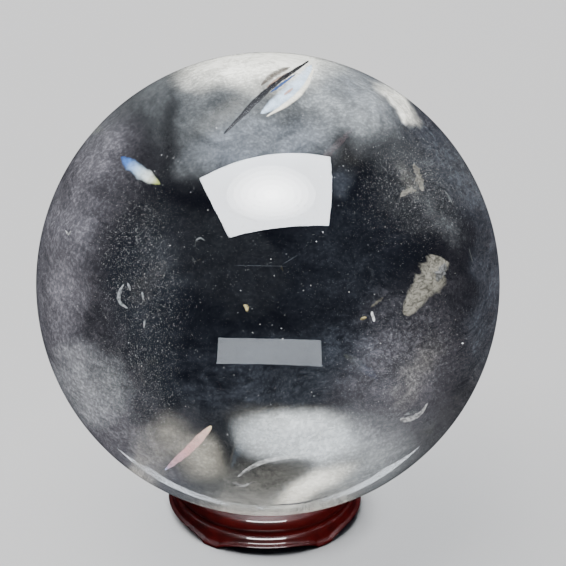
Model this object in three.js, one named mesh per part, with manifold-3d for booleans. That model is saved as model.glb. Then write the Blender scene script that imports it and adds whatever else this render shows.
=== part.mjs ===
// A rock-crystal ball on a small turned and lacquered wooden stand.
//
// Millimetres, +Z up. The origin is on the surface that the stand rests on, under the ball's
// centre. The stand has five feet, and the arch between two of them faces -Y.
//
// The pieces, from the top: the ball, which only rests in its seat; the seat ring, with a dished
// seat, a round bead and a spigot underneath; and the foot ring, which the spigot is glued into.

import * as THREE from "three";
import { mergeVertices } from "three/addons/utils/BufferGeometryUtils.js";
import Module from "manifold-3d";

// ---- Driving dimensions ------------------------------------------------------------------------

const BALL_RADIUS = 40;
const BALL_HEIGHT = 45; // of the ball's centre above the table

const BORE_RADIUS = 8.8; // the hole through the seat ring and its spigot
const DISH_RADIUS = 13.6; // the dished seat's outer edge
const LIP_RADIUS = 15.2; // the rim's outer edge, where the bead starts
const LIP_HEIGHT = 7.2;
const BEAD_RADIUS = 16.3; // the seat ring's widest
const BEAD_HEIGHT = 5.3;
const WAIST_RADIUS = 15; // the groove where the two rings meet
const WAIST_HEIGHT = 3.5;
const SPIGOT_RADIUS = 11.2;
const SPIGOT_BOTTOM = 1.7;

const FEET = 5;
const SHOULDER_RADIUS = 15.95; // the foot ring's upper edge, under the groove
const FOOT_RADIUS = 17.3; // the foot ring's widest, just above the table
const ARCH_RISE = 1.45; // of the arch between two feet
const ARCH_HALF_ANGLE = THREE.MathUtils.degToRad(31);

const SEAT_GAP = 0.3; // between the ball and its seat
const GLUE_GAP = 0.3; // between the two rings, all round

const BALL_SEGMENTS = 64;
const RING_SEGMENTS = 80;

// ---- Helpers -----------------------------------------------------------------------------------

const wasm = await Module();
wasm.setup();

/** Turns a closed three.js geometry into a manifold-3d solid. */
function toSolid(geometry) {
  const bare = geometry.clone();
  bare.deleteAttribute("normal");
  bare.deleteAttribute("uv");
  const merged = mergeVertices(bare, 1e-4);
  return new wasm.Manifold(
    new wasm.Mesh({
      numProp: 3,
      vertProperties: new Float32Array(merged.attributes.position.array),
      triVerts: new Uint32Array(merged.index.array),
    }),
  );
}

/** Turns a manifold-3d solid back into a three.js geometry. */
function toGeometry(solid) {
  const mesh = solid.getMesh();
  const geometry = new THREE.BufferGeometry();
  geometry.setAttribute("position", new THREE.BufferAttribute(mesh.vertProperties, 3));
  geometry.setIndex(new THREE.BufferAttribute(mesh.triVerts, 1));
  geometry.computeVertexNormals();
  return geometry;
}

/** Turns an outline about +Z: (radius, height) points, given counterclockwise and closed here. */
function turned(outline) {
  return new THREE.LatheGeometry([...outline, outline[0]], RING_SEGMENTS).rotateX(Math.PI / 2);
}

/** The points of a smooth curve through a few (radius, height) knots. */
function smooth(knots, steps) {
  const curve = new THREE.SplineCurve(knots.map(([r, z]) => new THREE.Vector2(r, z)));
  return curve.getPoints(steps);
}

function piece(name, geometry, material) {
  const mesh = new THREE.Mesh(geometry, material);
  mesh.name = name;
  return mesh;
}

// ---- The ball ----------------------------------------------------------------------------------

function makeBall() {
  const crystal = new THREE.MeshStandardMaterial({
    color: 0xdfe3e8,
    roughness: 0.03,
    metalness: 0,
    transparent: true,
    opacity: 0.35,
  });
  const geometry = new THREE.SphereGeometry(BALL_RADIUS, BALL_SEGMENTS, BALL_SEGMENTS / 2);
  const ball = piece("crystal_ball", geometry.rotateX(Math.PI / 2), crystal);
  ball.position.z = BALL_HEIGHT;
  return ball;
}

// ---- The stand ---------------------------------------------------------------------------------

/** Red-brown wood under a glossy lacquer. */
function lacqueredWood() {
  return new THREE.MeshStandardMaterial({ color: 0x6e1409, roughness: 0.18, metalness: 0 });
}

/** The dished seat, from its outer edge in to the bore: part of a sphere around the ball. */
function dishPoints() {
  const steps = 5;
  const sphere = BALL_RADIUS + SEAT_GAP;
  return Array.from({ length: steps + 1 }, (_, i) => {
    const r = THREE.MathUtils.lerp(DISH_RADIUS, BORE_RADIUS, i / steps);
    return new THREE.Vector2(r, BALL_HEIGHT - Math.sqrt(sphere ** 2 - r ** 2));
  });
}

function makeSeatRing() {
  const jointHeight = WAIST_HEIGHT + GLUE_GAP / 2;
  const beadAndRim = smooth(
    [
      [WAIST_RADIUS, jointHeight],
      [WAIST_RADIUS + 0.3, jointHeight + 0.3],
      [BEAD_RADIUS - 0.3, BEAD_HEIGHT - 0.85],
      [BEAD_RADIUS, BEAD_HEIGHT],
      [BEAD_RADIUS - 0.25, BEAD_HEIGHT + 0.9],
      [LIP_RADIUS + 0.5, LIP_HEIGHT - 0.25],
      [LIP_RADIUS, LIP_HEIGHT - 0.03],
      [LIP_RADIUS - 0.6, LIP_HEIGHT],
      [DISH_RADIUS + 0.1, LIP_HEIGHT - 0.11],
    ],
    18,
  );
  const outline = [
    new THREE.Vector2(BORE_RADIUS, SPIGOT_BOTTOM),
    new THREE.Vector2(SPIGOT_RADIUS, SPIGOT_BOTTOM),
    new THREE.Vector2(SPIGOT_RADIUS, jointHeight),
    ...beadAndRim,
    ...dishPoints(),
  ];
  return piece("seat_ring", turned(outline), lacqueredWood());
}

/** A cutter for the arch that faces -Y. It widens from near the centre outwards. */
function archCutter() {
  const near = 2;
  const reach = FOOT_RADIUS + 3;
  const below = -2;
  const halfWidth = reach * Math.tan(ARCH_HALF_ANGLE);
  const arch = new THREE.Shape();
  arch.moveTo(-halfWidth, below);
  arch.lineTo(halfWidth, below);
  arch.lineTo(halfWidth, 0);
  arch.bezierCurveTo(halfWidth * 0.82, ARCH_RISE * 0.8, halfWidth * 0.5, ARCH_RISE, 0, ARCH_RISE);
  arch.bezierCurveTo(-halfWidth * 0.5, ARCH_RISE, -halfWidth * 0.82, ARCH_RISE * 0.8, -halfWidth, 0);
  arch.closePath();
  const cutter = new THREE.ExtrudeGeometry(arch, {
    depth: reach - near,
    bevelEnabled: false,
    curveSegments: 12,
  });
  cutter.translate(0, 0, near);
  const place = cutter.attributes.position;
  for (let i = 0; i < place.count; i++) {
    place.setX(i, (place.getX(i) * place.getZ(i)) / reach);
  }
  return toSolid(cutter.rotateX(Math.PI / 2));
}

function makeFootRing() {
  const topHeight = WAIST_HEIGHT - GLUE_GAP / 2;
  const socketRadius = SPIGOT_RADIUS + GLUE_GAP;
  const footToShoulder = smooth(
    [
      [FOOT_RADIUS - 0.35, 0],
      [FOOT_RADIUS - 0.08, 0.25],
      [FOOT_RADIUS, 0.65],
      [FOOT_RADIUS - 0.2, 1.2],
      [SHOULDER_RADIUS + 0.45, 2],
      [SHOULDER_RADIUS, 2.7],
      [SHOULDER_RADIUS - 0.3, topHeight - 0.2],
      [WAIST_RADIUS + 0.2, topHeight],
    ],
    14,
  );
  const outline = [
    new THREE.Vector2(socketRadius, 0),
    ...footToShoulder,
    new THREE.Vector2(socketRadius, topHeight),
  ];
  const arch = archCutter();
  let ring = toSolid(turned(outline));
  for (let i = 0; i < FEET; i++) {
    ring = ring.subtract(arch.rotate([0, 0, (360 * i) / FEET]));
  }
  return piece("foot_ring", toGeometry(ring), lacqueredWood());
}

// ---- The whole object ---------------------------------------------------------------------------

const object = new THREE.Group();
object.add(makeBall(), makeSeatRing(), makeFootRing());

export default object;
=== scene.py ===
import math

import bmesh
import bpy
from mathutils import Matrix, Vector, noise


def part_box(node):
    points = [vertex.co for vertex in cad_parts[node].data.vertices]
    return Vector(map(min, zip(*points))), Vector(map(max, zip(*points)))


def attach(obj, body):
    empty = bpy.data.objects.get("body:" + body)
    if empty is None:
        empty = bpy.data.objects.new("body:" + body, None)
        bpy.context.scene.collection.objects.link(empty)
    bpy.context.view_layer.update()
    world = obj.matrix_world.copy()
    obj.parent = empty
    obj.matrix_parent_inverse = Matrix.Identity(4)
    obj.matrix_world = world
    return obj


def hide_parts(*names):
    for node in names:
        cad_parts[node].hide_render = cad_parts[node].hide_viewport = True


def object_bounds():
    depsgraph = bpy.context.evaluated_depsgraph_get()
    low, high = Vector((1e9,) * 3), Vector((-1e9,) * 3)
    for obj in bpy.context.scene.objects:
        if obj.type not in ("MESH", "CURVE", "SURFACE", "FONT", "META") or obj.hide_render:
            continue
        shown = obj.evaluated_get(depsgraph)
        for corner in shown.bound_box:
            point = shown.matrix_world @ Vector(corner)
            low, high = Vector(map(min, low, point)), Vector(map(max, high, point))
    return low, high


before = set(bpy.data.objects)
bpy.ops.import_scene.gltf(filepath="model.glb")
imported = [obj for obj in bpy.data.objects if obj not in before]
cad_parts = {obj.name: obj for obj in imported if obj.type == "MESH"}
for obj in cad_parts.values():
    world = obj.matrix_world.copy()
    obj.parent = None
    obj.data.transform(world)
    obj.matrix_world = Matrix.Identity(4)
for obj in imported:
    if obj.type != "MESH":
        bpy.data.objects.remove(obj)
cad_lowest, cad_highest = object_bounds()

MM = 0.001


# ---- The foot ring ------------------------------------------------------------------------------
# The stand's lower ring is turned from a close-grained red wood, carved with five shallow arches
# that leave five low feet, and finished in a glossy red-brown lacquer like the ring above it.


class Wire:
    """A shader socket that takes part in Python sums; each sum adds its Math node."""

    def __init__(self, shader, socket):
        self.shader = shader
        self.socket = socket

    def output(self, name):
        """Another output of the node that this one comes from."""
        return Wire(self.shader, self.socket.node.outputs[name])

    def math(self, operation, *others):
        operands = {i: value for i, value in enumerate((self, *others))}
        return self.shader.node("Math", {"operation": operation}, operands)

    def flipped(self, operation, other):
        return self.shader.node("Math", {"operation": operation}, {0: other, 1: self})

    def __add__(self, other):
        return self.math("ADD", other)

    def __sub__(self, other):
        return self.math("SUBTRACT", other)

    def __rsub__(self, other):
        return self.flipped("SUBTRACT", other)

    def __mul__(self, other):
        return self.math("MULTIPLY", other)

    def __truediv__(self, other):
        return self.math("DIVIDE", other)

    def __pow__(self, other):
        return self.math("POWER", other)

    __radd__ = __add__
    __rmul__ = __mul__

    def between(self, low, high):
        """0 below low, 1 above high, and smooth from one to the other."""
        sockets = {"Value": self, "From Min": low, "From Max": high}
        return self.shader.node("MapRange", {"interpolation_type": "SMOOTHSTEP"}, sockets)


class Shader:
    """One material's nodes. A node gets its settings first, then the values or wires of its sockets."""

    def __init__(self, name):
        self.material = bpy.data.materials.new(name)
        self.material.use_nodes = True
        self.tree = self.material.node_tree
        self.tree.nodes.clear()

    def node(self, kind, settings=None, sockets=None, output=0):
        node = self.tree.nodes.new("ShaderNode" + kind)
        for name, value in (settings or {}).items():
            if name == "stops":
                while len(node.color_ramp.elements) < len(value):
                    node.color_ramp.elements.new(1)
                for element, (place, colour) in zip(node.color_ramp.elements, value):
                    element.position = place
                    element.color = (*colour, 1)
            else:
                setattr(node, name, value)
        for key, value in (sockets or {}).items():
            if isinstance(value, Wire):
                self.tree.links.new(value.socket, node.inputs[key])
            else:
                node.inputs[key].default_value = value
        return Wire(self, node.outputs[output])

    def mix(self, share, first, second, blend="MIX"):
        """Two colours mixed; share is how much of the second shows."""
        settings = {"data_type": "RGBA", "blend_type": blend}
        colours = [c if isinstance(c, Wire) else (*c, 1) for c in (first, second)]
        return self.node("Mix", settings, {0: share, 6: colours[0], 7: colours[1]}, output=2)

    def place(self, scale=(1, 1, 1), location=(0, 0, 0), rotation=(0, 0, 0)):
        """Object coordinates in metres, stretched, moved and turned."""
        coordinates = self.node("TexCoord").output("Object")
        sockets = {"Vector": coordinates, "Scale": scale, "Location": location, "Rotation": rotation}
        return self.node("Mapping", None, sockets)

    def noise(self, vector, scale, detail=3.0, roughness=0.5, distortion=0.0):
        sockets = {
            "Vector": vector,
            "Scale": scale,
            "Detail": detail,
            "Roughness": roughness,
            "Distortion": distortion,
        }
        return self.node("TexNoise", None, sockets)

    def bump(self, height, strength, distance):
        return self.node("Bump", None, {"Height": height, "Strength": strength, "Distance": distance})

    def finish(self, sockets):
        """The material, with one Principled surface."""
        surface = self.node("BsdfPrincipled", None, sockets)
        self.node_output(surface)
        return self.material

    def node_output(self, surface):
        output = self.tree.nodes.new("ShaderNodeOutputMaterial")
        self.tree.links.new(surface.socket, output.inputs["Surface"])


def make_lacquered_wood():
    """Dark red wood with fine straight grain along X, under a clear, slightly rippled lacquer."""
    shader = Shader("red_brown_lacquer")
    fibres = shader.noise(shader.place((60, 900, 900)), 1.0, 6.0, 0.65, 0.4)
    bands = shader.noise(shader.place((25, 190, 190)), 1.0, 3.0, 0.5, 1.2)
    pores = shader.noise(shader.place((300, 4200, 4200)), 1.0, 2.0).between(0.62, 0.72)
    cloud = shader.noise(shader.place(), 90.0, 2.0)
    tone = (bands * 0.6 + fibres * 0.4 + cloud * 0.25).between(0.42, 0.82)
    dark, bright = (0.0040, 0.0002, 0.0002), (0.022, 0.0005, 0.0004)
    wood = shader.mix(tone, dark, bright)
    wood = shader.mix(pores * 0.65, wood, (0.004, 0.0004, 0.0003))
    ripple = shader.noise(shader.place(), 420.0, 3.0)
    relief = shader.bump(fibres * 0.3 - pores * 0.2 + ripple, 0.12, 0.0001)
    return shader.finish(
        {
            "Base Color": wood,
            "Roughness": 0.30 + fibres * 0.14,
            "IOR": 1.5,
            "Specular IOR Level": 0.15,
            "Coat Weight": 0.8,
            "Coat Roughness": 0.03,
            "Coat IOR": 1.52,
            "Normal": relief,
        }
    )


LACQUERED_WOOD = make_lacquered_wood()
FEET = 5
ARCH_RISE = 1.45 * MM
ARCH_HALF_ANGLE = math.radians(31)
ROUND_STEPS = 360  # round each ring


def add_piece(name, mesh, body, material):
    """Puts a finished mesh in the scene, shaded smooth, riding on its CAD body."""
    piece = bpy.data.objects.new(name, mesh)
    bpy.context.scene.collection.objects.link(piece)
    mesh.shade_smooth()
    if material is not None:
        mesh.materials.clear()
        mesh.materials.append(material)
    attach(piece, body)
    return piece


def catmull(knots, steps):
    """Points of a smooth curve through (radius, height) knots."""
    points = []
    last = len(knots) - 1
    for i in range(steps + 1):
        at = i / steps * last
        k = min(int(at), last - 1)
        t = at - k
        around = [Vector(knots[min(max(k + j, 0), last)]) for j in (-1, 0, 1, 2)]
        a, b, c, d = around
        points.append(
            0.5 * (2 * b + (c - a) * t + (2 * a - 5 * b + 4 * c - d) * t**2 + (3 * b - a - 3 * c + d) * t**3)
        )
    return points


def lathe_mesh(name, outline_at):
    """A closed ring: outline_at(angle) is its cross-section, the same number of points all round."""
    rows = []
    for i in range(ROUND_STEPS):
        angle = 2 * math.pi * i / ROUND_STEPS
        across = Vector((math.sin(angle), -math.cos(angle)))
        rows.append([(*(across * r), z) for r, z in outline_at(angle)])
    count = len(rows[0])
    points = [p for row in rows for p in row]
    faces = []
    for i in range(ROUND_STEPS):
        for j in range(count):
            a, b = i * count + j, i * count + (j + 1) % count
            c, d = ((i + 1) % ROUND_STEPS) * count + (j + 1) % count, ((i + 1) % ROUND_STEPS) * count + j
            faces.append((a, d, c, b))
    mesh = bpy.data.meshes.new(name)
    mesh.from_pydata(points, [], faces)
    mesh.update()
    return mesh


foot_low, foot_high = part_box("foot_ring")
seat_low, seat_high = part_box("seat_ring")
WAIST = 15.0 * MM
SOCKET = 11.5 * MM
SHOULDER = 15.95 * MM
FOOT_REACH = 17.3 * MM


def arch_height(angle):
    """How high the foot ring's lower edge is above the table; the arches face the front and round."""
    step = 2 * math.pi / FEET
    off = (angle + step / 2) % step - step / 2
    share = abs(math.tan(off) / math.tan(ARCH_HALF_ANGLE))
    if share >= 1:
        return 0.0
    return ARCH_RISE * (1 - share**3.2) ** 0.9


def foot_outline(angle):
    """The foot ring's section: up the flared and beaded side, over the top, down the socket."""
    lift = foot_low.z + arch_height(angle)
    top = foot_high.z
    round_off = 0.32 * MM
    side = [
        (FOOT_REACH - 0.45 * MM, 0.0),
        (FOOT_REACH - 0.08 * MM, 0.16 * MM),
        (FOOT_REACH, 0.42 * MM),
        (FOOT_REACH - 0.22 * MM, 0.72 * MM),
        (SHOULDER + 0.62 * MM, 1.05 * MM),
        (SHOULDER + 0.42 * MM, 1.70 * MM),
        (SHOULDER + 0.28 * MM, 2.35 * MM),
        (SHOULDER - 0.05 * MM, top - 0.36 * MM),
        (WAIST + 0.40 * MM, top - 0.08 * MM),
        (WAIST - 0.05 * MM, top),
    ]
    curve = catmull(side, 34)
    squeezed = []
    for r, z in curve:
        height = lift + (top - lift) * (z / top)
        under = math.exp(-(((height - lift) / round_off) ** 2))  # 1 at the lower edge, which is rounded
        squeezed.append((r - 0.18 * MM * under * (lift > foot_low.z + 0.1 * MM), height))
    inside = [(SOCKET + 0.1 * MM, top), (SOCKET, top - 0.12 * MM), (SOCKET, lift + 0.12 * MM)]
    underside = [(SOCKET + 0.12 * MM, lift), (FOOT_REACH - 2.2 * MM, lift), (FOOT_REACH - 1.0 * MM, lift)]
    return squeezed + inside + underside


foot_ring = add_piece(
    "carved_foot_ring",
    lathe_mesh("carved_foot_ring", foot_outline),
    "stand",
    LACQUERED_WOOD,
)
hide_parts("foot_ring")


# ---- The seat ring ------------------------------------------------------------------------------
# The upper ring is turned from the same wood: a round bead, a low rim, and a dished seat that the
# ball rests in. Its spigot is glued into the foot ring, and a hole goes right through it.

ball_low, ball_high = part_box("crystal_ball")
CENTRE = (ball_low + ball_high) / 2
RADIUS = (ball_high.x - ball_low.x) / 2
SEAT_GAP = 0.12 * MM
BORE = 8.8 * MM
SPIGOT = 11.2 * MM
BEAD = seat_high.x


def dish_height(r):
    """The height of the seat at radius r, just clear of the ball."""
    return CENTRE.z - math.sqrt((RADIUS + SEAT_GAP) ** 2 - r**2)


def seat_outline(_angle):
    top = seat_high.z
    joint = foot_high.z + 0.05 * MM
    side = [
        (WAIST - 0.05 * MM, joint),
        (WAIST + 0.20 * MM, joint + 0.10 * MM),
        (BEAD - 0.75 * MM, joint + 0.55 * MM),
        (BEAD - 0.18 * MM, joint + 1.15 * MM),
        (BEAD, joint + 1.95 * MM),
        (BEAD - 0.22 * MM, joint + 2.80 * MM),
        (BEAD - 0.70 * MM, joint + 3.40 * MM),
        (15.25 * MM, top - 0.06 * MM),
        (14.70 * MM, top),
        (14.00 * MM, top - 0.06 * MM),
        (13.60 * MM, dish_height(13.60 * MM)),
    ]
    dish = [(r * MM, dish_height(r * MM)) for r in (13.2, 12.4, 11.6, 10.8, 10.0, 9.4, 9.05)]
    bore = [(BORE, dish_height(9.05 * MM) - 0.3 * MM), (BORE, seat_low.z + 0.2 * MM)]
    spigot = [(BORE + 0.2 * MM, seat_low.z), (SPIGOT - 0.2 * MM, seat_low.z)]
    neck = [(SPIGOT, seat_low.z + 0.2 * MM), (SPIGOT, joint)]
    return catmull(side, 44) + dish + bore + spigot + neck


seat_ring = add_piece(
    "turned_seat_ring",
    lathe_mesh("turned_seat_ring", seat_outline),
    "stand",
    LACQUERED_WOOD,
)
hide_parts("seat_ring")


# ---- The ball -----------------------------------------------------------------------------------
# The ball is ground and polished from one piece of natural rock crystal, so it is clear and bends
# light strongly. It only rests in its seat.

CRYSTAL_IOR = 1.544


def make_rock_crystal():
    """Clear polished quartz. Lamps reach what lies inside it, with a little light lost."""
    shader = Shader("rock_crystal")
    stone = {
        "Base Color": (0.97, 0.98, 1.0, 1),
        "Roughness": 0.0,
        "IOR": CRYSTAL_IOR,
        "Transmission Weight": 1.0,
    }
    glass = shader.node("BsdfPrincipled", None, stone)
    let_through = shader.node("BsdfTransparent", None, {"Color": (0.86, 0.87, 0.88, 1)})
    is_lamp_ray = shader.node("LightPath").output("Is Shadow Ray")
    surface = shader.node("MixShader", None, {0: is_lamp_ray, 1: glass, 2: let_through})
    shader.node_output(surface)
    return shader.material


def ball_mesh():
    """A sphere of even small faces, with the slight unevenness that hand polishing leaves."""
    shape = bmesh.new()
    bmesh.ops.create_icosphere(shape, subdivisions=7, radius=1.0)
    for vertex in shape.verts:
        way = vertex.co.normalized()
        vertex.co = CENTRE + way * RADIUS * (1 + 0.00025 * noise.noise(way * 2.5))
    mesh = bpy.data.meshes.new("crystal_sphere")
    shape.to_mesh(mesh)
    shape.free()
    return mesh


sphere = add_piece("crystal_sphere", ball_mesh(), "ball", make_rock_crystal())
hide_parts("crystal_ball")
sphere.visible_diffuse = False


# ---- The veils ----------------------------------------------------------------------------------
# Healed cracks grew through the crystal as thin wavy sheets of tiny bubbles. They look like milky
# haze: thick at the top and the bottom, mottled at both sides, and almost none in the middle. The sheets
# glow by emission, which is painted light, and the bright top and bottom, where lamp light is refracted
# and reflected in the ball, are painted in as extra-bright haze.

VIEW_AZIMUTH = math.radians(-3.0)
VIEW_ELEVATION = math.radians(29.5)
VIEW_ROLL = math.radians(1.0)
VIEW_DISTANCE = 0.600
TOWARD = Vector(
    (
        math.sin(VIEW_AZIMUTH) * math.cos(VIEW_ELEVATION),
        -math.cos(VIEW_AZIMUTH) * math.cos(VIEW_ELEVATION),
        math.sin(VIEW_ELEVATION),
    )
)
FACING = (-TOWARD).to_track_quat("-Z", "Y").to_matrix().to_4x4() @ Matrix.Rotation(VIEW_ROLL, 4, "Z")
ACROSS = FACING.col[0].to_3d()
UP = FACING.col[1].to_3d()

MILK = (0.76, 0.81, 0.83)
CREAM = (0.90, 0.85, 0.70)
PAINTED_GLEAM = (1.30, 1.26, 1.10)  # painted highlight: a brighter-than-white glow colour for the brightest haze, where lamp light is refracted and reflected in the ball
WHITE = (0.92, 0.93, 0.92)
BLUISH = (0.60, 0.68, 0.82)
MAUVE = (0.68, 0.65, 0.72)
GREENISH = (0.74, 0.78, 0.66)


def seen_at(x, y, depth):
    """The point in the stone that shows x radii right of the ball's middle and y above it.

    The stone bends the line of sight where it enters; depth is the share of the way through it.
    """
    spread = RADIUS / math.sqrt(VIEW_DISTANCE**2 - RADIUS**2)
    sight = (-TOWARD + (ACROSS * x + UP * y) * spread).normalized()
    eye = TOWARD * VIEW_DISTANCE
    nearest = eye.dot(sight)
    reach = -nearest - math.sqrt(max(nearest**2 - VIEW_DISTANCE**2 + RADIUS**2, 0.0))
    entry = eye + sight * reach
    outward = entry.normalized()
    slant = -sight.dot(outward)
    bend = 1 / CRYSTAL_IOR
    inner = math.sqrt(1 - bend**2 * (1 - slant**2))
    inward = sight * bend + outward * (bend * slant - inner)
    return CENTRE + entry + inward * (2 * RADIUS * inner * depth)


def soft_step(value):
    value = min(max(value, 0.0), 1.0)
    return value * value * (3 - 2 * value)


def patch(x, y, half_x, half_y, turn, amount, colour, edge=0.6):
    """A soft oval of haze; turn is in degrees, and edge is the share of it that fades out."""
    c, s = math.cos(math.radians(turn)), math.sin(math.radians(turn))

    def weight(px, py):
        along = ((px - x) * c + (py - y) * s) / half_x
        aside = ((py - y) * c - (px - x) * s) / half_y
        return soft_step((1 - math.hypot(along, aside)) / edge)

    return weight, amount, colour


def rim_band(first, last, inner, amount, colour, edge=0.2):
    """Haze that follows the ball's edge from one angle to another, in degrees from the right."""
    middle, half = (first + last) / 2, (last - first) / 2

    def weight(px, py):
        angle = math.degrees(math.atan2(py, px))
        off = abs((angle - middle + 180) % 360 - 180)
        return soft_step((math.hypot(px, py) - inner) / edge) * soft_step((half - off) / 18)

    return weight, amount, colour


def veil_mesh(name, depth, tilt, waves, ragged, seed, parts):
    """A wavy sheet through the stone where its parts have haze; each point keeps fade and tint."""
    rings, sectors = 64, 200
    shape = bmesh.new()
    fade_layer = shape.verts.layers.float.new("fade")
    tint_layer = shape.verts.layers.float_vector.new("tint")

    def sheet_point(x, y):
        wander = Vector((x * 2.2, y * 2.2, seed))
        sway = (noise.noise_vector(wander * 2.2) + noise.noise_vector(wander * 7.0) * 0.5) * ragged
        clear, total, colour = 1.0, 1e-6, Vector((0, 0, 0))
        for weight, amount, tint in parts:
            share = weight(x + sway.x, y + sway.y) * max(amount, 0.0)
            clear *= 1 - share
            colour += Vector(tint) * share
            total += share
        fade = 1 - clear
        for weight, amount, tint in parts:
            fade *= 1 + min(amount, 0.0) * weight(x + sway.x * 0.4, y + sway.y * 0.4)
        at = depth + tilt[0] * x + tilt[1] * y + waves * noise.fractal(wander, 1.0, 2.0, 3)
        vertex = shape.verts.new(seen_at(x, y, min(max(at, 0.06), 0.94)))
        vertex[fade_layer] = fade
        vertex[tint_layer] = colour / total
        return vertex

    rows = [[sheet_point(0.0, 0.0)] * sectors]
    for i in range(1, rings + 1):
        r = 0.994 * i / rings
        angles = [2 * math.pi * j / sectors for j in range(sectors)]
        rows.append([sheet_point(r * math.cos(angle), r * math.sin(angle)) for angle in angles])
    for i in range(1, HEM_RINGS + 1):
        share = i / HEM_RINGS
        hem = []
        for vertex in rows[rings]:
            place = vertex.co - CENTRE
            along = place.dot(TOWARD)
            outward = place - TOWARD * along
            room = math.sqrt(max(RADIUS**2 - along**2, 0.0)) - outward.length
            copy = shape.verts.new(vertex.co + outward.normalized() * (room * 0.9 * share))
            copy[fade_layer] = vertex[fade_layer] * (1 - share) ** 1.5
            copy[tint_layer] = vertex[tint_layer]
            hem.append(copy)
        rows.append(hem)
    for inner, outer in zip(rows, rows[1:]):
        for j in range(sectors):
            k = (j + 1) % sectors
            corners = [inner[j], outer[j], outer[k], inner[k]]
            if inner is rows[0]:
                corners.pop()
            if max(v[fade_layer] for v in corners) > LEAST_HAZE:
                shape.faces.new(corners)
    bmesh.ops.delete(shape, geom=[v for v in shape.verts if not v.link_faces], context="VERTS")
    mesh = bpy.data.meshes.new(name)
    shape.to_mesh(mesh)
    shape.free()
    return mesh


def make_veil(name, cloud, grain):
    """Tiny bubbles in a sheet: cloud is how mottled it is and grain how speckled, each up to 1."""
    shader = Shader(name)
    fade = shader.node("Attribute", {"attribute_name": "fade"}).output("Fac")
    tint = shader.node("Attribute", {"attribute_name": "tint"}).output("Color")
    wisps = shader.noise(shader.place((1, 1, 1.7)), 170.0, 6.0, 0.62, 0.8).between(0.36, 0.66)
    streaks = shader.noise(shader.place((1, 0.6, 3.2), (0, 0, 0), (0.5, 0.3, 0.8)), 300.0, 4.0, 0.6, 1.5)
    body = (1 - cloud) + (wisps * 1.0 + streaks.between(0.38, 0.68) * 0.9) * cloud
    dust = shader.noise(shader.place(), 2300.0, 3.0, 0.7).between(0.44, 0.66)
    speckle = (1 - grain) + dust * (2.6 * grain)
    sockets = {
        "Base Color": shader.mix(1 - LAMP_SHARE, tint, (0, 0, 0)),
        "Roughness": 1.0,
        "Specular IOR Level": 0.0,
        "Alpha": fade * body * speckle,
        # painted glow: the sheet shines by emission, the same under any lamp
        "Emission Color": tint,
        "Emission Strength": PAINTED_GLOW,
    }
    return shader.finish(sockets)


LEAST_HAZE = 0.0015
HEM_RINGS = 8  # a sheet runs on past what shows from the front, and fades away there
LAMP_SHARE = 0.22  # how much of a veil's or flake's colour is lit by the lamps; the rest is painted glow from emission
# strength of the painted glow: veils and flakes shine by emission, not by lamp light
PAINTED_GLOW = 1.7

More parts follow.
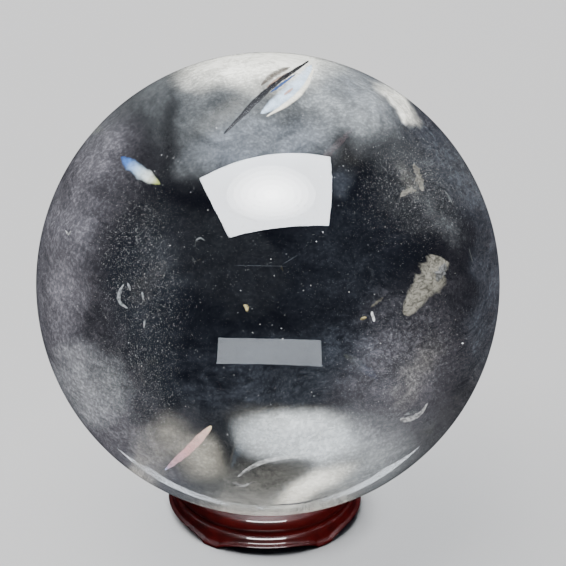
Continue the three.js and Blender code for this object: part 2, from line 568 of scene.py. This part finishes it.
VEILS = {
    "milky_veil": (
        (0.34, (0.04, 0.06), 0.05, 0.05, 3.1, 0.38, 0.20),
        [
            patch(-0.28, 0.70, 0.36, 0.36, -8, 0.036, MILK),
            patch(0.06, 0.81, 0.60, 0.36, 0, 0.115, MILK),
            patch(0.31, 0.80, 0.32, 0.18, -28, 0.180, MILK),
            # a painted highlight in the gleam colour along the top edge
            patch(-0.06, 1.02, 0.54, 0.23, 0, 1.000, PAINTED_GLEAM, 0.7),
            patch(-0.02, 0.60, 0.42, 0.15, 10, 0.099, BLUISH),
            patch(-0.32, 0.52, 0.12, 0.10, 40, 0.038, MILK),
            patch(0.32, 0.46, 0.08, 0.08, 20, 0.030, BLUISH),
            patch(0.54, 0.60, 0.24, 0.18, -40, 0.018, MILK, 0.9),
            # a painted highlight streak in the gleam colour at the upper right
            patch(0.545, 0.79, 0.17, 0.036, -38, 0.750, PAINTED_GLEAM),
            rim_band(48, 150, 0.88, 0.085, MILK, 0.12),
            patch(-0.425, 0.68, 0.05, 0.34, -3, -0.900, MILK, 0.9),
            patch(-0.56, 0.60, 0.15, 0.22, 30, -0.800, MILK, 0.9),
            patch(0.334, 0.61, 0.08, 0.13, 15, -0.850, MILK, 0.9),
            patch(-0.20, 0.78, 0.12, 0.09, 20, -0.450, MILK, 0.9),
        ],
    ),
    "left_veil": (
        (0.42, (0.05, 0.03), 0.05, 0.07, 7.7, 0.40, 0.28),
        [
            rim_band(122, 255, 0.60, 0.050, MAUVE, 0.26),
            rim_band(124, 250, 0.76, 0.100, MAUVE, 0.16),
            patch(-0.78, -0.46, 0.20, 0.24, 20, 0.150, MILK),
            patch(-0.86, -0.10, 0.12, 0.40, 0, 0.034, MAUVE),
            patch(-0.58, -0.66, 0.24, 0.24, 0, 0.004, BLUISH),
            patch(-0.52, -0.12, 0.22, 0.62, -4, 0.011, BLUISH, 0.9),
            patch(-0.25, 0.12, 0.24, 0.42, 62, 0.006, MILK, 0.3),
        ],
    ),
    "right_veil": (
        (0.38, (-0.04, 0.02), 0.05, 0.06, 12.4, 0.75, 0.42),
        [
            patch(0.63, 0.44, 0.24, 0.36, 18, 0.014, MILK, 0.9),
            patch(0.64, 0.46, 0.06, 0.12, 30, 0.050, CREAM, 0.9),
            patch(0.76, 0.24, 0.07, 0.18, 20, 0.038, MILK, 0.9),
            patch(0.58, -0.34, 0.50, 0.32, 66, 0.060, MAUVE, 0.8),
            patch(0.63, -0.40, 0.26, 0.08, 66, 0.053, CREAM, 0.9),
            patch(0.34, -0.30, 0.18, 0.16, 0, 0.017, BLUISH),
            rim_band(-58, -6, 0.88, 0.012, GREENISH, 0.10),
            rim_band(-30, 80, 0.84, 0.046, BLUISH, 0.12),
            patch(0.35, 0.05, 0.36, 0.50, 0, 0.010, BLUISH, 0.9),
        ],
    ),
    "base_veil": (
        (0.40, (0.0, 0.02), 0.03, 0.022, 21.9, 0.22, 0.15),
        [
            # the bright bottom haze, partly painted light where lamp light is refracted in the ball
            patch(0.12, -0.66, 0.32, 0.15, -3, 0.750, MILK, 0.55),
            patch(0.10, -0.58, 0.34, 0.09, -3, 0.091, CREAM, 0.9),
            patch(0.36, -0.74, 0.36, 0.25, 14, 0.270, MILK, 0.9),
            patch(0.42, -0.82, 0.34, 0.15, 28, 0.100, MILK, 0.9),
            # a painted highlight in the gleam colour at the bottom, where lamp light is refracted in the ball
            patch(0.19, -0.865, 0.25, 0.068, 26, 0.800, PAINTED_GLEAM, 0.75),
            rim_band(226, 300, 0.76, 0.030, BLUISH, 0.22),
            rim_band(284, 330, 0.74, 0.022, MILK, 0.25),
            patch(0.50, -0.60, 0.44, 0.34, 30, 0.060, MAUVE, 0.9),
            patch(-0.42, -0.66, 0.12, 0.15, 20, 0.180, CREAM, 0.9),
            patch(-0.28, -0.75, 0.14, 0.14, 40, 0.300, CREAM, 0.9),
            patch(0.050, -0.818, 0.20, 0.064, 17, -0.800, BLUISH, 0.4),
            patch(-0.17, -0.70, 0.055, 0.16, 8, -0.750, BLUISH, 0.7),
        ],
    ),
    "middle_veil": (
        (0.50, (0.1, -0.1), 0.08, 0.05, 31.3, 0.80, 0.30),
        [
            patch(0.05, -0.10, 0.90, 0.75, 10, 0.005, BLUISH, 0.9),
            patch(0.02, -0.44, 0.70, 0.28, 4, 0.024, BLUISH, 0.9),
        ],
    ),
}

for veil_name, ((depth, tilt, waves, ragged, seed, cloud, grain), parts) in VEILS.items():
    sheet = veil_mesh(veil_name, depth, tilt, waves, ragged, seed, parts)
    veil = add_piece(veil_name, sheet, "ball", make_veil(veil_name, cloud, grain))
    veil.visible_diffuse = False


# ---- The cracks and flakes ----------------------------------------------------------------------
# Open cracks in the stone are thin air gaps. Most are small and white or cream; a few larger
# ones are so thin that they split the light into bands of colour. Their shine is painted light: each
# flake glows by emission instead of reflecting the lamps.

SPINDLE, BLUNT = 0.75, 0.3  # how quickly a flake narrows at its ends


def add_flake(
    shape, knots, width, depth, tint, light=0.3, taper=SPINDLE, peak=1.0, ragged=0.25, seed=0.0, tilt=0.0
):
    """A thin closed flake along a curve of (x, y) knots, placed as it is seen from the front.

    Its widest place is halfway along it when peak is 1 and nearer its start when peak is smaller.
    """
    layers = shape.verts.layers
    along_layer, across_layer = layers.float["along"], layers.float["across"]
    tint_layer = layers.float_vector["tint"]
    steps, sides = 26, 10
    spine = catmull(knots, steps)
    rings = []
    for i in range(steps + 1):
        t = i / steps
        ahead = spine[min(i + 1, steps)] - spine[max(i - 1, 0)]
        aside = Vector((-ahead.y, ahead.x)).normalized()
        swell = max(math.sin(math.pi * t**peak), 0.0) ** taper
        count = sides if 0 < i < steps else 1
        ring = []
        for j in range(count):
            angle = 2 * math.pi * j / sides
            lean = math.cos(angle)
            rough = 1 + ragged * noise.noise(Vector((t * 9, lean * 0.8, seed)))
            rough += 0.6 * ragged * noise.noise(Vector((t * 31, lean * 0.8, seed + 5)))
            off = lean * width * swell * rough
            x, y = spine[i].x + aside.x * off, spine[i].y + aside.y * off
            ripple = 0.006 * noise.noise(Vector((x * 9, y * 9, seed)))
            thick = 0.0012 * swell * math.sin(angle)
            vertex = shape.verts.new(seen_at(x, y, depth + tilt * off + ripple + thick))
            vertex[along_layer] = t
            vertex[across_layer] = (lean + 1) / 2 if count > 1 else 0.5
            # light sets how bright the flake's painted glow is
            vertex[tint_layer] = Vector(tint) * light * 0.75
            ring.append(vertex)
        rings.append(ring)
    for first, second in zip(rings, rings[1:]):
        for j in range(sides):
            k = (j + 1) % sides
            if len(first) == 1:
                shape.faces.new((first[0], second[k], second[j]))
            elif len(second) == 1:
                shape.faces.new((first[j], first[k], second[0]))
            else:
                shape.faces.new((first[j], first[k], second[k], second[j]))


def flake_piece(name, material, flakes):
    shape = bmesh.new()
    shape.verts.layers.float.new("along")
    shape.verts.layers.float.new("across")
    shape.verts.layers.float_vector.new("tint")
    for flake in flakes:
        add_flake(shape, **flake)
    bmesh.ops.recalc_face_normals(shape, faces=shape.faces[:])
    mesh = bpy.data.meshes.new(name)
    shape.to_mesh(mesh)
    shape.free()
    piece = add_piece(name, mesh, "ball", material)
    piece.visible_diffuse = False
    return piece


def make_flake_skin(name, feather, solid, frosting):
    """Faded at the sides; feather is how far in it fades, and frosting how rough it looks."""
    shader = Shader(name)
    tint = shader.node("Attribute", {"attribute_name": "tint"}).output("Color")
    across = shader.node("Attribute", {"attribute_name": "across"}).output("Fac")
    frost = shader.noise(shader.place((1, 1, 1.6), (0, 0, 0), (0.4, 0.9, 0.2)), 1100.0, 5.0, 0.7, 1.0)
    frost = frost.between(0.34, 0.62)
    middle = (across * (1 - across) * 4).between(0.0, feather)
    shade = shader.mix(frost * frosting + (1 - frosting), (0, 0, 0), tint)
    sockets = {
        "Base Color": shader.mix(1 - LAMP_SHARE, shade, (0, 0, 0)),
        "Roughness": 0.5,
        "Specular IOR Level": 0.1,
        "Alpha": middle * (frost * 0.3 + 0.7) * solid,
        "Emission Color": shade,
        # painted glow: the flake shines by emission instead of reflecting the lamps
        "Emission Strength": PAINTED_GLOW,
    }
    return shader.finish(sockets)


PALE_YELLOW = (0.95, 0.80, 0.38)
DEEP_BLUE = (0.10, 0.20, 0.55)
SKY = (0.60, 0.75, 0.92)
SMOKE = (0.030, 0.030, 0.036)
RUST = (0.22, 0.13, 0.08)

flake_piece(
    "white_flakes",
    make_flake_skin("white_flakes", 0.8, 0.92, 0.75),
    [
        # the broad frosted flake on the right, which narrows to a tail
        {"knots": [(0.742, 0.120), (0.712, 0.045), (0.655, -0.035), (0.590, -0.135)], "width": 0.066,
         "depth": 0.30, "tint": CREAM, "light": 0.26, "taper": 0.50, "peak": 0.62, "ragged": 0.45, "seed": 1.3},
        {"knots": [(0.765, 0.090), (0.730, 0.010)], "width": 0.020, "depth": 0.295, "tint": WHITE, "light": 0.20,
         "ragged": 0.7, "seed": 2.3},
        # the short white bar, the yellow streak and the pale one beside it
        {"knots": [(0.449, -0.118), (0.461, -0.162)], "width": 0.007, "depth": 0.25, "tint": WHITE,
         "light": 0.9, "taper": BLUNT},
        {"knots": [(0.400, -0.152), (0.428, -0.144)], "width": 0.008, "depth": 0.27, "tint": PALE_YELLOW,
         "light": 0.4},
        {"knots": [(0.446, -0.100), (0.500, -0.058)], "width": 0.008, "depth": 0.27, "tint": CREAM, "light": 0.12,
         "ragged": 0.7, "seed": 3.3},
        # the comet low on the right
        {"knots": [(0.570, -0.588), (0.622, -0.580), (0.662, -0.553), (0.690, -0.512)], "width": 0.013,
         "depth": 0.35, "tint": WHITE, "light": 0.50, "peak": 0.55, "ragged": 0.4, "seed": 4.1},
        {"knots": [(0.586, -0.566), (0.618, -0.556), (0.650, -0.548)], "width": 0.006, "depth": 0.34,
         "tint": MILK, "light": 0.25, "ragged": 0.6},
        # the hook on the left, with the flecks round it
        {"knots": [(-0.618, 0.0), (-0.640, -0.040), (-0.636, -0.080), (-0.600, -0.105)], "width": 0.010,
         "depth": 0.22, "tint": MILK, "light": 0.35, "ragged": 0.7, "seed": 6.2},
        {"knots": [(-0.603, 0.006), (-0.590, -0.030)], "width": 0.006, "depth": 0.22, "tint": MILK},
        {"knots": [(-0.541, -0.030), (-0.535, -0.070)], "width": 0.005, "depth": 0.24, "tint": MILK},
        {"knots": [(-0.528, -0.150), (-0.533, -0.190)], "width": 0.005, "depth": 0.24, "tint": MILK},
        # the golden flake near the middle
        {"knots": [(-0.103, -0.090), (-0.088, -0.100), (-0.087, -0.120)], "width": 0.010, "depth": 0.20,
         "tint": PALE_YELLOW, "light": 0.6, "ragged": 0.5, "seed": 8.4},
        # small crescents
        {"knots": [(-0.540, 0.218), (-0.560, 0.208), (-0.563, 0.186), (-0.548, 0.172)], "width": 0.0045,
         "depth": 0.20, "tint": MILK, "light": 0.14},
        {"knots": [(-0.312, 0.160), (-0.306, 0.188), (-0.288, 0.198), (-0.268, 0.186)], "width": 0.0045,
         "depth": 0.20, "tint": MILK, "light": 0.18},
        {"knots": [(-0.872, 0.232), (-0.858, 0.214), (-0.848, 0.228)], "width": 0.005, "depth": 0.25,
         "tint": WHITE, "light": 0.6},
        {"knots": [(-0.152, -0.856), (-0.110, -0.870), (-0.068, -0.854)], "width": 0.007, "depth": 0.30,
         "tint": WHITE, "light": 0.5},
        {"knots": [(0.762, 0.405), (0.798, 0.345)], "width": 0.005, "depth": 0.33, "tint": MILK, "light": 0.2},
        {"knots": [(0.630, 0.520), (0.650, 0.462), (0.668, 0.400)], "width": 0.018, "depth": 0.40, "tint": CREAM,
         "light": 0.22, "ragged": 0.9, "seed": 9.9},
        {"knots": [(0.570, 0.375), (0.610, 0.405), (0.640, 0.400)], "width": 0.014, "depth": 0.41, "tint": CREAM,
         "light": 0.20, "ragged": 0.9, "seed": 10.9},
        {"knots": [(0.868, 0.155), (0.884, 0.095)], "width": 0.003, "depth": 0.30, "tint": MILK, "light": 0.12},
        # hair-thin lines across the middle and at the bottom
        {"knots": [(-0.150, 0.080), (0.0, 0.078), (0.080, 0.076)], "width": 0.0016, "depth": 0.35,
         "tint": BLUISH, "light": 0.10},
        {"knots": [(0.060, 0.082), (0.130, 0.125)], "width": 0.0016, "depth": 0.37, "tint": BLUISH, "light": 0.10},
        {"knots": [(0.00, -0.955), (0.14, -0.945), (0.26, -0.915)], "width": 0.0045, "depth": 0.25,
         "tint": WHITE, "light": 0.25},
        # the bright upper edge of the dark hollow at the bottom: a painted highlight where lamp light is refracted in
        # the ball
        {"knots": [(-0.135, -0.832), (-0.055, -0.780), (0.045, -0.752), (0.150, -0.745)], "width": 0.011,
         "depth": 0.55, "tint": WHITE, "light": 0.65, "peak": 0.8, "seed": 12.0},
    ],
)

# the long crack at the top: dark, with a brown branch above it and a bright wedge below;
# the wedge's brightness is a painted reflection of lamp light, glowing by emission
flake_piece(
    "top_crack",
    make_flake_skin("top_crack", 0.8, 1.0, 0.4),
    [
        {"knots": [(0.180, 0.965), (0.085, 0.900), (0.010, 0.845), (-0.050, 0.790), (-0.120, 0.718), (-0.190, 0.645)],
         "width": 0.014, "depth": 0.24, "tint": SMOKE, "light": 0.5, "taper": 0.55, "ragged": 0.5, "seed": 14.2},
        {"knots": [(0.120, 0.905), (0.060, 0.862), (0.010, 0.825)], "width": 0.007, "depth": 0.235,
         "tint": DEEP_BLUE, "light": 0.5, "ragged": 0.5, "seed": 17.2},
    ],
)
flake_piece(
    "top_wedge",
    make_flake_skin("top_wedge", 1.5, 0.95, 0.25),
    [
        {"knots": [(0.188, 0.945), (0.140, 0.870), (0.070, 0.805), (-0.030, 0.735)], "width": 0.042, "depth": 0.23,
         "tint": SKY, "light": 1.5, "ragged": 0.15, "seed": 16.2},
        {"knots": [(0.200, 0.935), (0.160, 0.850), (0.095, 0.786), (-0.005, 0.722)], "width": 0.016,
         "depth": 0.225, "tint": CREAM, "light": 1.6, "ragged": 0.15, "seed": 18.2},
        {"knots": [(0.110, 0.845), (0.070, 0.815)], "width": 0.008, "depth": 0.222, "tint": (0.95, 0.50, 0.35),
         "light": 0.7, "ragged": 0.3, "seed": 19.2},
        {"knots": [(0.095, 0.935), (0.030, 0.905), (-0.030, 0.856)], "width": 0.017, "depth": 0.245,
         "tint": RUST, "light": 0.22, "ragged": 0.4, "seed": 15.2},
        {"knots": [(0.100, 0.915), (0.045, 0.884), (-0.005, 0.846)], "width": 0.009, "depth": 0.243,
         "tint": (0.8, 0.50, 0.36), "light": 0.45, "ragged": 0.3, "seed": 15.7},
    ],
)


def make_rainbow(name, stops, feather, glow):
    """A gap so thin that it splits the light; the bands run along it, and its sides fade away. The coloured flash is
    painted into the colour and glows by emission: a painted reflection, the same from every side.
    """
    shader = Shader(name)
    along = shader.node("Attribute", {"attribute_name": "along"}).output("Fac")
    across = shader.node("Attribute", {"attribute_name": "across"}).output("Fac")
    waver = shader.noise(shader.place(), 700.0, 3.0) * 0.16 - 0.08
    bands = shader.node("ValToRGB", {"stops": stops}, {0: along + waver})
    frost = shader.noise(shader.place(), 1300.0, 3.0, 0.6).between(0.30, 0.62)
    middle = (across * (1 - across) * 4).between(0.0, feather)
    sockets = {
        "Base Color": shader.mix(1 - LAMP_SHARE, bands, (0, 0, 0)),
        "Roughness": 0.35,
        "Specular IOR Level": 0.3,
        "Alpha": middle * (frost * 0.5 + 0.5),
        "Emission Color": bands,
        # painted glow: the bands shine by emission
        "Emission Strength": glow,
    }
    return shader.finish(sockets)


LEFT_FLASH_BANDS = [
    (0.0, (0.02, 0.06, 0.22)),
    (0.25, (0.08, 0.22, 0.60)),
    (0.50, (0.45, 0.62, 0.80)),
    (0.72, (0.75, 0.80, 0.72)),
    (0.88, (0.36, 0.40, 0.10)),
    (1.0, (0.08, 0.08, 0.02)),
]
flake_piece(
    "left_flash",
    make_rainbow("left_flash", LEFT_FLASH_BANDS, 1.5, 1.1),
    [
        {"knots": [(-0.632, 0.548), (-0.560, 0.490), (-0.462, 0.430)], "width": 0.034, "depth": 0.22,
         "tint": WHITE, "ragged": 0.3, "seed": 20.1},
    ],
)

PINK_BANDS = [
    (0.0, (0.42, 0.50, 0.80)),
    (0.15, (0.62, 0.40, 0.48)),
    (0.5, (0.78, 0.44, 0.44)),
    (0.85, (0.85, 0.58, 0.50)),
    (1.0, (0.75, 0.62, 0.35)),
]
flake_piece(
    "pink_flake",
    make_rainbow("pink_flake", PINK_BANDS, 0.6, 1.3),
    [
        {"knots": [(-0.445, -0.802), (-0.350, -0.722), (-0.242, -0.612)], "width": 0.021, "depth": 0.35,
         "tint": WHITE, "peak": 1.35, "taper": 0.6, "ragged": 0.25, "seed": 22.1},
    ],
)


# ---- The specks ---------------------------------------------------------------------------------
# Bubbles and mineral grains too small to have a shape lie scattered along the veils, most of them
# in the speckled clouds at the left and the right.


def node_group(name, inputs):
    """A new geometry tree with named number inputs."""
    tree = bpy.data.node_groups.new(name, "GeometryNodeTree")
    tree.interface.new_socket("Geometry", in_out="INPUT", socket_type="NodeSocketGeometry")
    for label, kind, value in inputs:
        socket = tree.interface.new_socket(label, in_out="INPUT", socket_type=kind)
        socket.default_value = value
    tree.interface.new_socket("Geometry", in_out="OUTPUT", socket_type="NodeSocketGeometry")
    return tree


def speck_tree(material):
    """Tiny closed shards scattered through a layer around a sheet, thickest where it has most haze."""
    tree = node_group(
        "specks",
        [
            ("Density", "NodeSocketFloat", 1.0),
            ("Speck size", "NodeSocketFloat", 0.0001),
            ("Layer depth", "NodeSocketFloat", 0.004),
            ("Seed", "NodeSocketInt", 1),
        ],
    )

    def add(kind, settings=None, sockets=None):
        node = tree.nodes.new(kind)
        for key, value in (settings or {}).items():
            setattr(node, key, value)
        for key, value in (sockets or {}).items():
            if isinstance(value, bpy.types.NodeSocket):
                tree.links.new(value, node.inputs[key])
            else:
                node.inputs[key].default_value = value
        return node

    given = add("NodeGroupInput").outputs
    fade = add("GeometryNodeInputNamedAttribute", {"data_type": "FLOAT"}, {"Name": "fade"}).outputs["Attribute"]
    density = add("ShaderNodeMath", {"operation": "MULTIPLY"}, {0: fade, 1: given["Density"]}).outputs[0]
    points = add(
        "GeometryNodeDistributePointsOnFaces",
        {"distribute_method": "RANDOM"},
        {"Mesh": given["Geometry"], "Density": density, "Seed": given["Seed"]},
    ).outputs["Points"]
    scatter = add(
        "FunctionNodeRandomValue",
        {"data_type": "FLOAT_VECTOR"},
        {0: (-1, -1, -1), 1: (1, 1, 1), "Seed": given["Seed"]},
    ).outputs[0]
    spread = add("ShaderNodeVectorMath", {"operation": "SCALE"}, {0: scatter, "Scale": given["Layer depth"]})
    moved = add("GeometryNodeSetPosition", None, {"Geometry": points, "Offset": spread.outputs[0]}).outputs[0]
    shard = add(
        "GeometryNodeMeshCone",
        {"fill_type": "NGON"},
        {"Vertices": 4, "Radius Top": 0.0, "Radius Bottom": 0.8, "Depth": 1.6},
    ).outputs["Mesh"]
    turn = add(
        "FunctionNodeRandomValue", {"data_type": "FLOAT_VECTOR"}, {0: (0, 0, 0), 1: (6.28, 6.28, 6.28), "Seed": 11}
    ).outputs[0]
    chance = add("FunctionNodeRandomValue", {"data_type": "FLOAT"}, {2: 0.0, 3: 1.0, "Seed": 12}).outputs[1]
    rare = add("ShaderNodeMath", {"operation": "POWER"}, {0: chance, 1: 7.0}).outputs[0]
    grown = add("ShaderNodeMath", {"operation": "MULTIPLY_ADD"}, {0: rare, 1: 2.2, 2: 0.6}).outputs[0]
    size = add("ShaderNodeMath", {"operation": "MULTIPLY"}, {0: grown, 1: given["Speck size"]}).outputs[0]
    shards = add(
        "GeometryNodeInstanceOnPoints", None, {"Points": moved, "Instance": shard, "Rotation": turn, "Scale": size}
    ).outputs[0]
    whole = add("GeometryNodeRealizeInstances", None, {"Geometry": shards}).outputs[0]
    finished = add("GeometryNodeSetMaterial", None, {"Geometry": whole, "Material": material}).outputs[0]
    tree.links.new(finished, add("NodeGroupOutput").inputs[0])
    return tree


def make_speck_skin():
    shader = Shader("specks")
    tone = shader.noise(shader.place(), 800.0, 2.0)
    colour = shader.mix(tone, (0.30, 0.33, 0.38), (0.55, 0.52, 0.46))
    # the specks glow a little by emission, which is painted light
    return shader.finish(
        {"Base Color": colour, "Roughness": 0.6, "Emission Color": colour, "Emission Strength": 0.30}
    )


SPECK_MATERIAL = make_speck_skin()
SPECK_TREE = speck_tree(SPECK_MATERIAL)


def scatter_specks(name, density, size, layer_depth, seed, sheet):
    """Runs the speck tree over a sheet that is thrown away, and keeps the plain result."""
    carrier = bpy.data.objects.new(name + "_carrier", veil_mesh(name + "_carrier", *sheet))
    bpy.context.scene.collection.objects.link(carrier)
    modifier = carrier.modifiers.new("specks", "NODES")
    modifier.node_group = SPECK_TREE
    values = {"Density": density, "Speck size": size, "Layer depth": layer_depth, "Seed": seed}
    for item in SPECK_TREE.interface.items_tree:
        if item.in_out == "INPUT" and item.name in values:
            modifier[item.identifier] = values[item.name]
    bpy.context.view_layer.update()
    evaluated = carrier.evaluated_get(bpy.context.evaluated_depsgraph_get())
    mesh = bpy.data.meshes.new_from_object(evaluated)
    mesh.name = name
    carrier.modifiers.remove(modifier)
    bpy.data.objects.remove(carrier)
    piece = add_piece(name, mesh, "ball", SPECK_MATERIAL)
    mesh.shade_flat()
    piece.visible_diffuse = False
    return piece


LEFT_SPECKS = [
    patch(-0.57, 0.10, 0.14, 0.42, 6, 1.0, WHITE, 0.8),
    patch(-0.56, -0.45, 0.16, 0.38, -4, 1.0, WHITE, 0.8),
    patch(-0.72, -0.55, 0.22, 0.30, 20, 0.25, WHITE, 0.9),
]
RIGHT_SPECKS = [
    patch(0.65, 0.42, 0.20, 0.34, 18, 0.8, WHITE, 0.8),
    patch(0.50, 0.45, 0.20, 0.25, 0, 0.2, WHITE, 0.8),
    patch(0.58, -0.38, 0.40, 0.18, 52, 0.8, WHITE, 0.8),
]
STRAY_SPECKS = [patch(0.0, 0.0, 0.99, 0.99, 0, 1.0, WHITE, 0.3)]

scatter_specks("left_specks", 9.0e7, 0.000017, 0.004, 3, (0.45, (0.1, 0.05), 0.08, 0.06, 41.0, LEFT_SPECKS))
scatter_specks("right_specks", 8.0e7, 0.000017, 0.004, 4, (0.42, (-0.1, 0.0), 0.08, 0.06, 43.0, RIGHT_SPECKS))
scatter_specks("stray_specks", 5.0e5, 0.000030, 0.016, 5, (0.50, (0.0, 0.0), 0.16, 0.06, 47.0, STRAY_SPECKS))


# ---- The floor, the lights and the camera -------------------------------------------------------
# None of these is part of the object.

LENS = 220.8


def make_floor():
    shader = Shader("pale_floor")
    fine = shader.noise(shader.place(), 900.0, 4.0)
    broad = shader.noise(shader.place(), 6.0, 2.0)
    tone = shader.mix(broad * 0.5, (0.60, 0.60, 0.605), (0.66, 0.66, 0.66))
    bump = shader.bump(fine, 0.05, 0.0001)
    return shader.finish({"Base Color": tone, "Roughness": 0.75, "Normal": bump})


floor_size = 3.0
floor_mesh = bpy.data.meshes.new("floor")
corners = [(x * floor_size, y * floor_size, cad_lowest.z) for x, y in ((-1, -1), (1, -1), (1, 1), (-1, 1))]
floor_mesh.from_pydata(corners, [], [(0, 1, 2, 3)])
floor_mesh.materials.append(make_floor())
floor = bpy.data.objects.new("floor", floor_mesh)
bpy.context.scene.collection.objects.link(floor)
floor.visible_transmission = False
floor.visible_glossy = False


def add_softbox(name, place, target, width, depth, power, colour=(1, 1, 1), turn=0.0):
    """A flat rectangular lamp that faces its target; turn rotates it about its own axis."""
    lamp = bpy.data.lights.new(name, "AREA")
    lamp.shape = "RECTANGLE"
    lamp.size = width
    lamp.size_y = depth
    lamp.energy = power
    lamp.color = colour
    holder = bpy.data.objects.new(name, lamp)
    aim = (Vector(target) - Vector(place)).to_track_quat("-Z", "Y").to_matrix().to_4x4()
    holder.matrix_world = Matrix.Translation(place) @ aim @ Matrix.Rotation(turn, 4, "Z")
    bpy.context.scene.collection.objects.link(holder)
    return holder


STRIP_RISE = math.radians(11.6)


def light_only(holder, chosen, state):
    """Makes a lamp light only the chosen objects, or everything but them."""
    group = bpy.data.collections.new(holder.name + "_receivers")
    for thing in chosen:
        group.objects.link(thing)
    holder.light_linking.receiver_collection = group
    for entry in group.collection_objects:
        entry.light_linking.link_state = state


softbox_place = Vector((0.0, -0.19, CENTRE.z + 0.60))
softbox_foot = Vector((0.0, -0.19, 0.0))
softbox = add_softbox("softbox_above", softbox_place, softbox_foot, 0.62, 0.44, 40.0, (0.91, 0.95, 1.0), math.radians(9))
light_only(softbox, [floor, foot_ring, seat_ring], "EXCLUDE")
BULB_STEPS = 6  # the softbox is brightest in its middle, where its bulb is
for step in range(BULB_STEPS):
    share = 1 - step / BULB_STEPS
    bulb_place = softbox_place - Vector((0, 0, 0.002 * (step + 1)))
    bulb = add_softbox(f"softbox_bulb_{step}", bulb_place, softbox_foot, 0.44 * share, 0.32 * share, 3.4 * share**2)
    bulb.data.shape = "ELLIPSE"
    light_only(bulb, [floor, foot_ring, seat_ring], "EXCLUDE")
    bulb.visible_transmission = False
stand_light = add_softbox("stand_light", (0.0, -0.40, 0.31), (0.0, 0.0, 0.0), 0.38, 0.13, 10.0)
light_only(stand_light, [foot_ring, seat_ring], "INCLUDE")
softbox.visible_transmission = False
stand_light.visible_transmission = False
stand_light.visible_camera = False
strip_place = CENTRE + (TOWARD * math.cos(STRIP_RISE) + UP * math.sin(STRIP_RISE)) * 0.8
strip = add_softbox("strip_in_front", strip_place, CENTRE, 0.245, 0.059, 0.36, (0.88, 0.94, 1.0))
strip.visible_glossy = False
light_only(strip, [floor, foot_ring, seat_ring], "EXCLUDE")
floor_fill = add_softbox("floor_fill", (-0.6, 0.4, CENTRE.z + 2.2), (0, 0, 0), 2.4, 2.4, 140.0)
light_only(floor_fill, [floor], "INCLUDE")
floor_fill.visible_transmission = False

SURROUNDINGS = (0.006, 0.007, 0.011, 1)  # what the ball shows
BACKGROUND = (0.60, 0.60, 0.605, 1)  # what the eye sees beyond the floor

world = bpy.data.worlds.new("studio")
bpy.context.scene.world = world
world.use_nodes = True
sky = world.node_tree
direct = sky.nodes.new("ShaderNodeLightPath").outputs["Is Camera Ray"]
shade = sky.nodes.new("ShaderNodeMix")
shade.data_type = "RGBA"
shade.inputs[6].default_value = SURROUNDINGS
shade.inputs[7].default_value = BACKGROUND
sky.links.new(direct, shade.inputs[0])
sky.links.new(shade.outputs[2], sky.nodes["Background"].inputs["Color"])

camera_data = bpy.data.cameras.new("camera")
camera_data.sensor_width = 36.0
camera_data.lens = LENS
camera_data.clip_start = 0.01
camera_data.clip_end = 20.0
camera = bpy.data.objects.new("camera", camera_data)
aim_point = CENTRE + ACROSS * 2.6 * MM + UP * 0.17 * MM
camera.matrix_world = Matrix.Translation(aim_point + TOWARD * VIEW_DISTANCE) @ FACING
bpy.context.scene.collection.objects.link(camera)
bpy.context.scene.camera = camera
